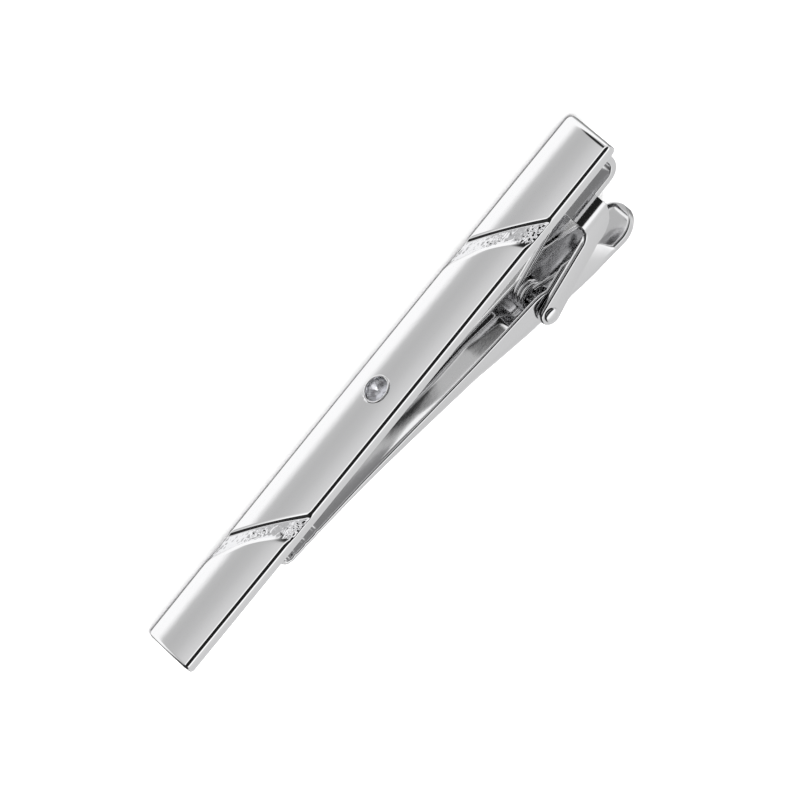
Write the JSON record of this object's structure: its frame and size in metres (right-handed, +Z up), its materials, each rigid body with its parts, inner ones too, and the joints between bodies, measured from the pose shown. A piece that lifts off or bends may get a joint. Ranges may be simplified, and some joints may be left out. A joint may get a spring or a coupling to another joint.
{
  "type": "tie clip",
  "caption": "Domed metal tie bar with slanting textured bands and a small set stone, and a sprung clamp arm pinned to a bracket behind it.",
  "frame": {"origin": "centre of the bar's flat back face, which lies on the tie", "axes": "+X along the bar away from the hinge, -Y out of the front of the bar, +Z up across the bar as it is worn"},
  "size_m": [0.058, 0.0105, 0.0064],
  "materials": {
    "plated_bar": "bright rhodium plate on brass, with two matt hammered bands",
    "plated_stamping": "bright plate on a pressed strip, barrel polished",
    "spring_wire": "drawn spring wire",
    "cut_glass": "clear cut glass, foiled behind"
  },
  "bodies": {
    "bar": {"front_bar": "plated_bar", "stone_cup": "plated_bar", "crystal": "cut_glass", "hinge_bracket": "plated_stamping", "hinge_pin": "plated_stamping"},
    "arm": {"clamp_arm": "plated_stamping", "torsion_spring": "spring_wire"}
  },
  "joints": [
    {"name": "arm_pivot", "type": "hinge", "parent": "bar", "child": "arm", "pos_m": [-0.01435, 0.0073, 0], "axis": [0, 0, 1], "range_deg": [0, 6.2], "stiffness_Nm_per_rad": 0.06, "springref_deg": -28.65, "deforming": ["torsion_spring"]}
  ]
}
